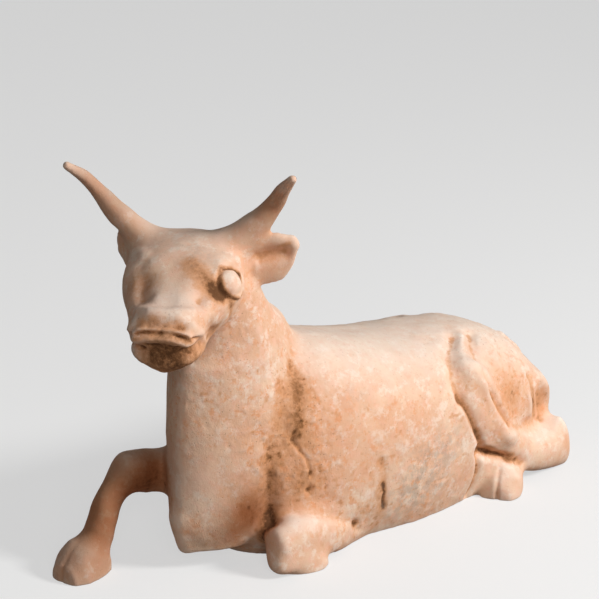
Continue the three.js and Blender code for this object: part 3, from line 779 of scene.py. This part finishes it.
# Relief all over: slow lumps from the hand, and an uneven crust except where the clay is rubbed.
RUBBED_WORDS = ("hoof", "horn", "eye", "shank", "ear")
rubbed_rows = [k for k, name in enumerate(FORM_NAMES) if any(w in name for w in RUBBED_WORDS)]
rubbed = skin.smoothed(np.isin(owner, rubbed_rows).astype(float), 25)
CRUSTED_PLACES = (
    ((62, 42, 92), 34, 0.8),
    ((60, 46, 60), 26, 0.5),
    ((-20, 60, 40), 40, 0.3),
    (on_head(84, 0, -38), 20, 0.6),
    (on_head(45, 18, -12), 14, 0.4),
    ((-110, 54, 66), 22, 0.4),
)
# Lumps: size, seed and height.
HAND_LUMPS = ((17, 1, 0.40), (9, 12, 0.25))
CRUST_LUMPS = ((5.5, 2, 0.2), (2.8, 3, 0.24))
SCABS, SCAB_START, SCAB_HEIGHT = ((6, 5, 1), (2.6, 6, 0.7)), 0.45, 0.9
PITS, PIT_START, PIT_DEPTH = ((3.4, 4, 1), (9, 8, 0.6)), 0.75, 1.5
LEAST_CRUST = 0.12


def all_lumps(table):
    return sum(height * lumps(skin.points, size, seed) for size, seed, height in table)


crust = 0.30 + 0.45 * lumps(skin.points, 32, 11) + skin.near_all(CRUSTED_PLACES)
crust -= 0.5 * skin.fade(on_head(35, 0, -8), 60) + 0.6 * skin.near((83, 41, 32), 20)
crust = np.clip(crust, LEAST_CRUST, 1) * (1 - 0.75 * rubbed)
scabs = np.clip(all_lumps(SCABS) - SCAB_START, 0, 1)
pitted = np.clip(all_lumps(PITS) - PIT_START, 0, 1)
relief = all_lumps(HAND_LUMPS) + crust * all_lumps(CRUST_LUMPS)
relief += crust * (SCAB_HEIGHT * scabs - PIT_DEPTH * pitted)
skin.points = skin.points + relief[:, None] * skin.normals()

# The ox lies on the ground: what reaches lower is flattened onto it.
under = skin.points[:, 2] < 0
skin.points[under, 2] = 0
normals = skin.normals()

# Soil gathers in the hollows, and the clay is painted darker there as painted shade in creases and
# recesses.
worked = skin.smoothed(skin.points, 12)
hollow = np.einsum("ij,ij->i", worked - skin.points, normals)
wide_hollow = skin.smoothed(hollow, 6)
soil_and_shade = np.clip(hollow * 0.9 + wide_hollow * 0.6 - 0.2, 0, 1.1)
# Places painted darker: stains and soil, and painted shade under the chin and jaw, on the front of
# the nose, in the right hollow of the face, on the right foreleg, beside the chest fold and under
# the chest.
SOIL_AND_SHADE_PLACES = (
    (on_head(38, 10, -5), 9, 0.35),
    (on_head(46, 19, -11), 7, 0.5),
    (on_head(46, 25, -15), 5, 0.9),
    (on_head(46, -19, -11), 12, 0.4),
    (on_head(83, 0, -36), 13, 1.0),
    (on_head(76, 10, -42), 13, 0.8),
    (on_head(60, 16, -48), 12, 0.6),
    (on_head(40, 31, -27), 5, 0.35),
    ((58, 38, 106), 13, 0.5),
    ((64, 46, 80), 13, 0.45),
    ((60, 50, 50), 13, 0.45),
    ((72, 42, 95), 12, 0.3),
    ((86, 40, 40), 12, 0.35),
    ((-112, 53, 66), 15, 0.35),
    ((-150, 47, 48), 11, 0.4),
    ((-60, 58, 60), 10, 0.15),
    ((98, 20, 6), 14, 0.6),
    ((92, 34, 40), 14, 0.3),
    ((10, 58, 18), 18, 0.25),
    ((128, -14, 48), 18, 0.7),
)
soil_and_shade += skin.near_all(SOIL_AND_SHADE_PLACES)
# Lines painted darker, with soil and with painted shade in creases and folds: the line, its half
# width and how dark.
SOIL_AND_SHADE_LINES = (
    (eye_crease(), EYE_CREASE_WIDTH, 1.1),
    (head_line([(45, 23, -11), (47, 25, -15), (44, 28, -20)]), 3.0, 0.9),
    (head_line([(86, -19, -26), (87, -8, -22), (87, 5, -21), (86, 13, -23), (80, 20, -27)]),
     1.5, 1.0),
    (head_line([(81, -12, -17), (83, 0, -16.5), (81, 11, -18)]), 4.2, 0.45),
    (head_line([(41, 31, -23), (36, 30, -34), (24, 28, -50)]), 1.8, 0.6),
    (head_line([(48, 24, -36), (44, 22, -46)]), 4.0, 0.7),
    (head_line([(33, 6, -3), (39, 14, -7), (43, 22, -11)]), 5.0, 0.35),
    (head_line([(5, 43, -13), (3, 50, -8), (1, 58, -4)]), 2.2, 0.6),
    ([(57, 29, 119), (57, 35, 112), (59, 40, 104), (62, 43, 94), (63, 45, 82)], 4.2, 0.5),
    ([(81, 40, 70), (81, 41, 50), (83, 41, 24), (87, 39, 2)], 6.0, 0.5),
    ([(82, 41, 44), (84, 41, 24), (88, 39, 2)], 5.0, 0.7),
    ([(9, 60, 54), (6, 59, 42), (8, 59, 34), (5, 58, 20)], 4.2, 0.4),
    ([(6, 59, 38), (4, 58, 32), (5, 58, 27), (3, 57, 20)], 1.2, 0.8),
    ([(-79, 59, 36), (-88, 58, 33), (-98, 58, 28), (-108, 61, 24)], 3.4, 1.2),
    ([(-63, 57, 75), (-68, 59, 64), (-74, 60, 52), (-82, 59, 39)], 2.2, 0.7),
    ([(-90, 60, 74), (-98, 62, 60), (-106, 62, 48)], 2.6, 0.3),
    ([(-138, 47, 66), (-139, 49, 54), (-143, 48, 40)], 2.4, 0.5),
)
for number, (line, width, amount) in enumerate(SOIL_AND_SHADE_LINES):
    soil_and_shade += amount * swell(line, width, SOIL_AND_SHADE_SEED + SEED_STEP * number)

# Patches of colour: place, reach and amount. Ash grey, rust, and painted shade where the clay lies
# in shadow.
grey = skin.near_all((
    ((-30, 62, 36), 22, 0.8),
    ((-10, 62, 20), 18, 0.6),
    ((20, 58, 100), 14, 0.4),
    ((-50, 60, 50), 16, 0.4),
    (on_head(28, 12, 0), 12, 0.4),
    (on_head(18, -4, 0), 20, 0.2),
    (on_head(0, 36, -4), 9, 0.5),
    (on_head(46, 24, -34), 7, 0.5),
    ((100, 20, 60), 18, 0.2),
))
warm = skin.near_all((
    (on_head(2, 52, -12), 16, 1.0),
    (on_head(39, 14, -7), 9, 0.6),
    ((-112, 54, 66), 20, 0.8),
    ((-100, 44, 92), 12, 0.5),
    ((-72, 40, 97), 8, 0.5),
    ((-160, 60, 16), 10, 0.5),
    ((-155, 45, 42), 12, 0.5),
    ((68, 44, 80), 26, 0.7),
    ((64, 48, 44), 20, 0.6),
    ((124, 18, 29), 8, 0.6),
    ((124, 18, 80), 34, 0.5),
    (on_head(62, 3, -9), 16, 0.4),
    ((30, 58, 80), 30, 0.3),
    ((-10, 60, 70), 30, 0.25),
))
# Painted shade: the clay is painted darker on the right foreleg behind the chest, on the horns'
# undersides, in the right hollow of the face, beside the chest fold and a little on the forehead.
painted_shade = skin.near_all((
    (on_head(20, 0, 2), 32, 0.05),
    (on_head(47, -20, -12), 14, 0.35),
    (on_head(0, -45, 14), 20, 0.65),
    (on_head(6, -62, 36), 16, 0.45),
    (on_head(0, 46, 16), 15, 0.75),
    (on_head(6, 56, 32), 16, 0.5),
    ((94, 36, 36), 17, 1.0),
    ((104, 28, 24), 12, 0.5),
    ((122, -26, 55), 22, 1.0),
    ((150, -26, 45), 22, 0.9),
    ((160, -26, 22), 20, 0.7),
    ((178, -22, 8), 18, 0.6),
))
head_near = skin.fade(on_head(40, 0, -15), 70)
# Painted light: the clay is painted paler on surfaces that face up, on the nose bridge and at the
# left of the chest, less so near the head; it is also paler on ridges.
facing_up = skin.smoothed(normals[:, 2], 20)
painted_light = np.clip(facing_up * 1.5 - 0.6, 0, 1) + np.clip(-hollow * 0.9, 0, 0.5)
painted_light *= 1 - 0.8 * head_near
painted_light += skin.near_all(((on_head(62, 3, -9), 13, 0.55), ((126, 14, 60), 26, 0.35)))
# Flecks of soil on the flanks, left out where the clay is rubbed or painted paler.
flecks = np.clip(lumps(skin.points, 2.4, 77) * 3.5 - 1.6, 0, 1)
flecks *= (1 - rubbed) * (1 - np.minimum(1, 1.6 * head_near)) * np.clip(1 - 2.5 * painted_light, 0, 1)
soil_and_shade += 0.32 * flecks
KEPT_VALUES = dict(soil_and_shade=soil_and_shade, grey=grey, warm=warm, painted_shade=painted_shade, painted_light=painted_light, crust=crust)


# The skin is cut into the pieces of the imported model.
PIECE_NAMES = ["torso_left", *FORM_NAMES[1:], "torso_right"]
TORSO_RIGHT = len(PIECE_NAMES) - 1
OWN_VOTE = 1.5
middle = skin.points[skin.faces].mean(1)
face_owner = away[:, skin.faces].mean(2).argmin(0)
face_owner[(face_owner == 0) & (middle[:, 1] < 0)] = TORSO_RIGHT


def face_neighbours(faces):
    """Pairs of faces that share a side."""
    pairs = np.sort(sides_of(faces), 1)
    order = np.lexsort(pairs.T)
    pairs, owners = pairs[order], np.tile(np.arange(len(faces)), 4)[order]
    same = (pairs[1:] == pairs[:-1]).all(1)
    return owners[:-1][same], owners[1:][same]


def tidy_owners(owner, times):
    """Each face takes the owner that most of it and its neighbours have."""
    a, b = beside
    kinds = len(PIECE_NAMES)
    for _ in range(times):
        slots = len(owner) * kinds
        votes = np.bincount(np.arange(len(owner)) * kinds + owner, minlength=slots) * OWN_VOTE
        votes += np.bincount(a * kinds + owner[b], minlength=slots)
        votes += np.bincount(b * kinds + owner[a], minlength=slots)
        owner = votes.reshape(-1, kinds).argmax(1)
    return owner


def largest_patch(owner):
    """Faces cut off from the main patch of their owner go to the piece around them."""
    a, b = beside
    for _ in range(4):
        together = owner[a] == owner[b]
        group = np.arange(len(owner))
        while True:
            lower = group.copy()
            np.minimum.at(lower, a[together], group[b[together]])
            np.minimum.at(lower, b[together], group[a[together]])
            lower = lower[lower]
            if (lower == group).all():
                break
            group = lower
        size = np.bincount(group, minlength=len(owner))[group]
        stray = np.zeros(len(owner), bool)
        for kind in range(len(PIECE_NAMES)):
            mine = owner == kind
            if mine.any():
                stray |= mine & (size < size[mine].max())
        if not stray.any():
            break
        for first, second in ((a, b), (b, a)):
            moved = stray[first] & ~stray[second]
            owner[first[moved]] = owner[second[moved]]
    return owner


beside = face_neighbours(skin.faces)
face_owner = largest_patch(tidy_owners(face_owner, 6))
face_under = under[skin.faces].all(1)
wall_normals = unit(skin.smoothed(normals, 8))


def loops_of(rim):
    """The rim's sides, sorted by the loop that they belong to."""
    group = {}

    def root(i):
        while group.setdefault(i, i) != i:
            i = group[i]
        return i

    for i, j in rim:
        group[root(i)] = root(j)
    loops = {}
    for i, j in rim:
        loops.setdefault(root(i), []).append((i, j))
    return loops.values()


def closed_piece(name, mine):
    """The piece's part of the skin, closed behind by a wall or by a plug of clay."""
    used, local = np.unique(skin.faces[mine], return_inverse=True)
    quads = local.reshape(-1, 4)
    outer = skin.points[used]
    out_normals = normals[used]
    known = set(map(tuple, sides_of(quads).tolist()))
    rim = sorted((i, j) for i, j in known if (j, i) not in known)
    faces = quads.tolist()
    if name in WALLS:
        inner = outer - WALLS[name] * wall_normals[used]
        inner[:, 2] = np.maximum(inner[:, 2], 0)
        low = outer[:, 2] <= 0
        inner[low, 2] = 0
        n = len(outer)
        faces += [tuple(n + i for i in reversed(q)) for q in quads.tolist()]
        faces += [(j, i, n + i, n + j) for i, j in rim]
        points = np.vstack([outer, inner])
        all_normals = np.vstack([out_normals, -out_normals])
        source = np.concatenate([used, used])
    else:
        points, all_normals, source = [outer], [out_normals], [used]
        count = len(outer)
        for loop in loops_of(rim):
            corners = np.array(sorted({i for i, _ in loop}))
            inward = -wall_normals[used[corners]]
            sunk = outer[corners] + PLUG_DEPTH * inward
            plug = np.vstack([sunk, sunk.mean(0) + inward.mean(0)])
            plug[:, 2] = np.maximum(plug[:, 2], 0)
            below = {i: count + k for k, i in enumerate(corners.tolist())}
            centre = count + len(corners)
            for i, j in loop:
                faces += [(j, i, below[i], below[j]), (below[j], below[i], centre)]
            points.append(plug)
            all_normals.append(np.vstack([inward, inward.mean(0)]))
            source.append(np.append(used[corners], used[corners[0]]))
            count += len(plug)
        points, all_normals = np.vstack(points), np.vstack(all_normals)
        source = np.concatenate(source)
    return points, faces, all_normals, source


class Value:
    """A shader socket that can be used in arithmetic."""

    def __init__(self, shader, socket):
        self.shader, self.socket = shader, socket

    def out(self, key):
        """Another output of the same node."""
        return Value(self.shader, self.socket.node.outputs[key])

    def math(self, operation, *others):
        values = dict(enumerate((self, *others)))
        return self.shader.node("ShaderNodeMath", {"operation": operation}, values)

    def __add__(self, other):
        return self.math("ADD", other)

    __radd__ = __add__

    def __mul__(self, other):
        return self.math("MULTIPLY", other)

    def __sub__(self, other):
        return self.math("SUBTRACT", other)

    def __rsub__(self, other):
        return self.math("MULTIPLY", -1).math("ADD", other)

    def clamped(self, low=0.0, high=1.0):
        return self.math("MAXIMUM", low).math("MINIMUM", high)

    def between(self, low, high):
        """0 at low and 1 at high, smoothly."""
        settings, values = {"interpolation_type": "SMOOTHSTEP"}, {0: self, 1: low, 2: high}
        return self.shader.node("ShaderNodeMapRange", settings, values)


class Shader:
    def __init__(self, material):
        material.use_nodes = True
        self.tree = material.node_tree
        self.tree.nodes.clear()

    def node(self, kind, settings=None, values=None):
        """A new node with its settings and inputs, given back as its first output."""
        node = self.tree.nodes.new(kind)
        for key, value in (settings or {}).items():
            setattr(node, key, value)
        for key, value in (values or {}).items():
            if isinstance(value, Value):
                self.tree.links.new(value.socket, node.inputs[key])
            else:
                node.inputs[key].default_value = value
        return Value(self, node.outputs[0]) if node.outputs else None

    def attribute(self, name):
        return self.node("ShaderNodeAttribute", {"attribute_name": name}).out("Fac")

    def noise(self, where, size, detail, roughness=0.55):
        """Noise from 0 to 1 with features of about the given size in millimetres."""
        scale = 1 / (size * METRES)
        values = {"Vector": where, "Scale": scale, "Detail": detail, "Roughness": roughness}
        return self.node("ShaderNodeTexNoise", None, values)

    def grains(self, where, size):
        """The distance from the middle of each grain, in grain sizes."""
        values = {"Vector": where, "Scale": 1 / (size * METRES)}
        return self.node("ShaderNodeTexVoronoi", None, values)

    def blend(self, amount, first, second, how="MIX"):
        settings = {"data_type": "RGBA", "blend_type": how}
        values = {0: amount, 6: first, 7: second}
        return self.node("ShaderNodeMix", settings, values).out(2)


def colour(red, green, blue):
    """A colour given as it looks on a screen, from 0 to 255."""
    return tuple((c / 255) ** 2.2 for c in (red, green, blue)) + (1.0,)


BUFF = colour(229, 180, 147)
CREAM = colour(236, 198, 168)
ROSE = colour(222, 164, 134)
CHALK = colour(250, 236, 222)
OCHRE = colour(208, 146, 100)
BROWN = colour(146, 98, 60)
DARK_SOIL_AND_SHADE = colour(84, 54, 32)
ASH = colour(172, 160, 148)
PINK = colour(238, 184, 156)
RUST = colour(228, 150, 98)
PAINTED_SHADE_TINT = colour(178, 148, 124)
STREAK_SQUASH = (1, 1, 0.22)
BUMP_STRENGTH, BUMP_HEIGHT, SHEEN = 0.6, 0.9, 0.25


def clay(name):
    """Mottled clay, then painted light, soil with painted shade, ash, painted shade, streaks and
    pits over it.
    """
    material = bpy.data.materials.new(name)
    shader = Shader(material)
    where = shader.node("ShaderNodeTexCoord").out("Object")
    broad = shader.noise(where, 34, 3)
    patch = shader.noise(where, 11, 5, 0.62)
    fine = shader.noise(where, 2.8, 6, 0.68)
    dust = shader.noise(where, 0.9, 3, 0.6)
    grit = shader.attribute("crust")
    soil_and_shade_here = shader.attribute("soil_and_shade")

    body = shader.blend(broad.between(0.38, 0.64), BUFF, CREAM)
    body = shader.blend(patch.between(0.50, 0.70) * 0.5, body, ROSE)
    body = shader.blend(shader.noise(where, 6.5, 3).between(0.48, 0.64) * 0.5, body, PINK)
    body = shader.blend(shader.noise(where, 8, 6, 0.72).between(0.50, 0.64) * 0.45, body, CHALK)
    rust = shader.noise(where, 6, 6, 0.75).between(0.52, 0.64) * (0.3 + grit * 0.8)
    rust = rust + shader.attribute("warm") * (0.3 + patch * 0.7)
    body = shader.blend(rust.clamped() * 0.8, body, RUST)
    # Painted light: paler where the light falls brightest.
    painted_light_share = shader.attribute("painted_light") * (0.35 + patch * 0.9)
    body = shader.blend(painted_light_share.clamped() * 0.8, body, CHALK)
    body = shader.blend(fine.between(0.56, 0.80) * (0.08 + grit * 0.2), body, CHALK)
    # Soil, with painted shade in creases and shadowed places: ochre, brown and dark soil colours.
    spread = (patch.between(0.56, 0.74) * grit * 0.45 + soil_and_shade_here) * (0.45 + patch * 1.1)
    caught = (spread + (fine - 0.5) * (spread * 1.6 + 0.12)).clamped(0, 2)
    body = shader.blend(caught.between(0.06, 0.5) * 0.75, body, OCHRE)
    body = shader.blend(caught.between(0.42, 0.95) * 0.75, body, BROWN)
    body = shader.blend(caught.between(0.8, 1.4) * 0.8, body, DARK_SOIL_AND_SHADE)
    ash = shader.attribute("grey") * shader.noise(where, 7, 6, 0.72).between(0.42, 0.60)
    body = shader.blend(ash.clamped() * 0.6, body, ASH)
    # Painted shade: the colour is darkened where the clay lies in shadow.
    body = shader.blend(shader.attribute("painted_shade").clamped(), body, PAINTED_SHADE_TINT, "MULTIPLY")
    settings, values = {"operation": "MULTIPLY"}, {0: where, 1: STREAK_SQUASH}
    grain = shader.node("ShaderNodeVectorMath", settings, values)
    streaks = shader.noise(grain, 2.4, 4, 0.6).between(0.58, 0.72)
    body = shader.blend(streaks * (0.1 + grit * 0.3), body, OCHRE)
    specks = shader.grains(where, 2.2)
    pits = (1 - specks.between(0.05, 0.24)) * fine.between(0.44, 0.58) * (0.35 + grit)
    body = shader.blend(pits.clamped() * 0.6, body, BROWN)

    height = fine * (0.25 + grit * 0.8) + dust * 0.25 + patch * grit * 0.5 - pits * 0.5
    values = {"Strength": BUMP_STRENGTH, "Distance": BUMP_HEIGHT * METRES, "Height": height}
    bump = shader.node("ShaderNodeBump", None, values)
    shine = (0.74 + grit * 0.15 + (fine - 0.5) * 0.16 + caught * 0.1).clamped(0.3, 1.0)
    values = {"Base Color": body, "Roughness": shine, "Normal": bump, "Specular IOR Level": SHEEN}
    surface = shader.node("ShaderNodeBsdfPrincipled", None, values)
    shader.node("ShaderNodeOutputMaterial", None, {"Surface": surface})
    return material


CLAYS = {slot: clay(slot) for slot in ("buff_clay", "pale_clay")}
PALE_PIECES = ("left_horn", "right_horn", "left_ear")


def shown_piece(name, mine):
    points, faces, piece_normals, source = closed_piece(name, mine)
    mesh = bpy.data.meshes.new(name + "_clay")
    mesh.from_pydata((points * METRES).tolist(), [], faces)
    for key, values in KEPT_VALUES.items():
        layer = mesh.attributes.new(key, "FLOAT", "POINT")
        layer.data.foreach_set("value", values[source].astype(np.float32))
    mesh.shade_smooth()
    mesh.normals_split_custom_set_from_vertices(piece_normals.tolist())
    piece = bpy.data.objects.new(name + "_clay", mesh)
    scene.collection.objects.link(piece)
    slot = "pale_clay" if name in PALE_PIECES else "buff_clay"
    mesh.materials.append(CLAYS[slot])
    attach(piece, "root")
    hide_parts(name)


for number, name in enumerate(PIECE_NAMES):
    mine = face_owner == number
    if name in WALLS:
        mine &= ~face_under
    shown_piece(name, mine)


# The floor looks pale to the camera and casts back little light.
FLOOR_FOR_LIGHT, FLOOR_SEEN = colour(96, 88, 80), colour(238, 237, 235)
FLOOR_REACH, FLOOR_GAP, FLOOR_GLOW = 6.0, 0.0002, 0.6
WHITE, BACKDROP, WORLD_LIGHT = (1, 1, 1, 1), 0.95, 0.08


def seen_directly(shader):
    """1 for what the camera sees, also in a reflection or through glass, and 0 for light."""
    rays = shader.node("ShaderNodeLightPath")
    seen = rays.out("Is Camera Ray") + rays.out("Is Glossy Ray") + rays.out("Is Transmission Ray")
    return seen.clamped()


def floor_material():
    """A pale floor that takes the shadow."""
    material = bpy.data.materials.new("pale_floor")
    shader = Shader(material)
    paint = shader.blend(seen_directly(shader), FLOOR_FOR_LIGHT, FLOOR_SEEN)
    values = {"Base Color": paint, "Roughness": 0.9}
    lit = shader.node("ShaderNodeBsdfPrincipled", None, values)
    values = {"Color": WHITE, "Strength": BACKDROP}
    white = shader.node("ShaderNodeEmission", None, values)
    values = {0: seen_directly(shader) * FLOOR_GLOW, 1: lit, 2: white}
    both = shader.node("ShaderNodeMixShader", None, values)
    shader.node("ShaderNodeOutputMaterial", None, {"Surface": both})
    return material


floor_mesh = bpy.data.meshes.new("floor")
corners = ((-1, -1), (1, -1), (1, 1), (-1, 1))
floor_corners = [(x * FLOOR_REACH, y * FLOOR_REACH, -FLOOR_GAP) for x, y in corners]
floor_mesh.from_pydata(floor_corners, [], [(0, 1, 2, 3)])
floor_mesh.materials.append(floor_material())
floor = bpy.data.objects.new("floor", floor_mesh)
scene.collection.objects.link(floor)


def aimed(thing, place, target):
    thing.location = place
    thing.rotation_euler = (Vector(target) - Vector(place)).to_track_quat("-Z", "Y").to_euler()
    scene.collection.objects.link(thing)


def lamp(name, place, size, watts):
    light = bpy.data.lights.new(name, "AREA")
    light.shape = "DISK"
    light.size = size
    light.energy = watts
    aimed(bpy.data.objects.new(name, light), place, target=(0.0, 0.0, 0.1))


lamp("key_lamp", (-0.62, 1.16, 0.92), size=0.4, watts=22.8)
lamp("fill_lamp", (0.95, 1.35, 0.8), size=0.8, watts=6.5)

world = bpy.data.worlds.new("studio")
scene.world = world
sky = Shader(world)
strength = seen_directly(sky) * (BACKDROP - WORLD_LIGHT) + WORLD_LIGHT
air = sky.node("ShaderNodeBackground", None, {"Color": WHITE, "Strength": strength})
sky.node("ShaderNodeOutputWorld", None, {"Surface": air})

camera_data = bpy.data.cameras.new("camera")
camera_data.sensor_width, camera_data.lens = 36, 114.2
camera = bpy.data.objects.new("camera", camera_data)
aimed(camera, place=(0.7475, 0.8339, 0.5158), target=(0.03196, 0.01085, 0.15093))
scene.camera = camera
scene.view_settings.view_transform = "Standard"
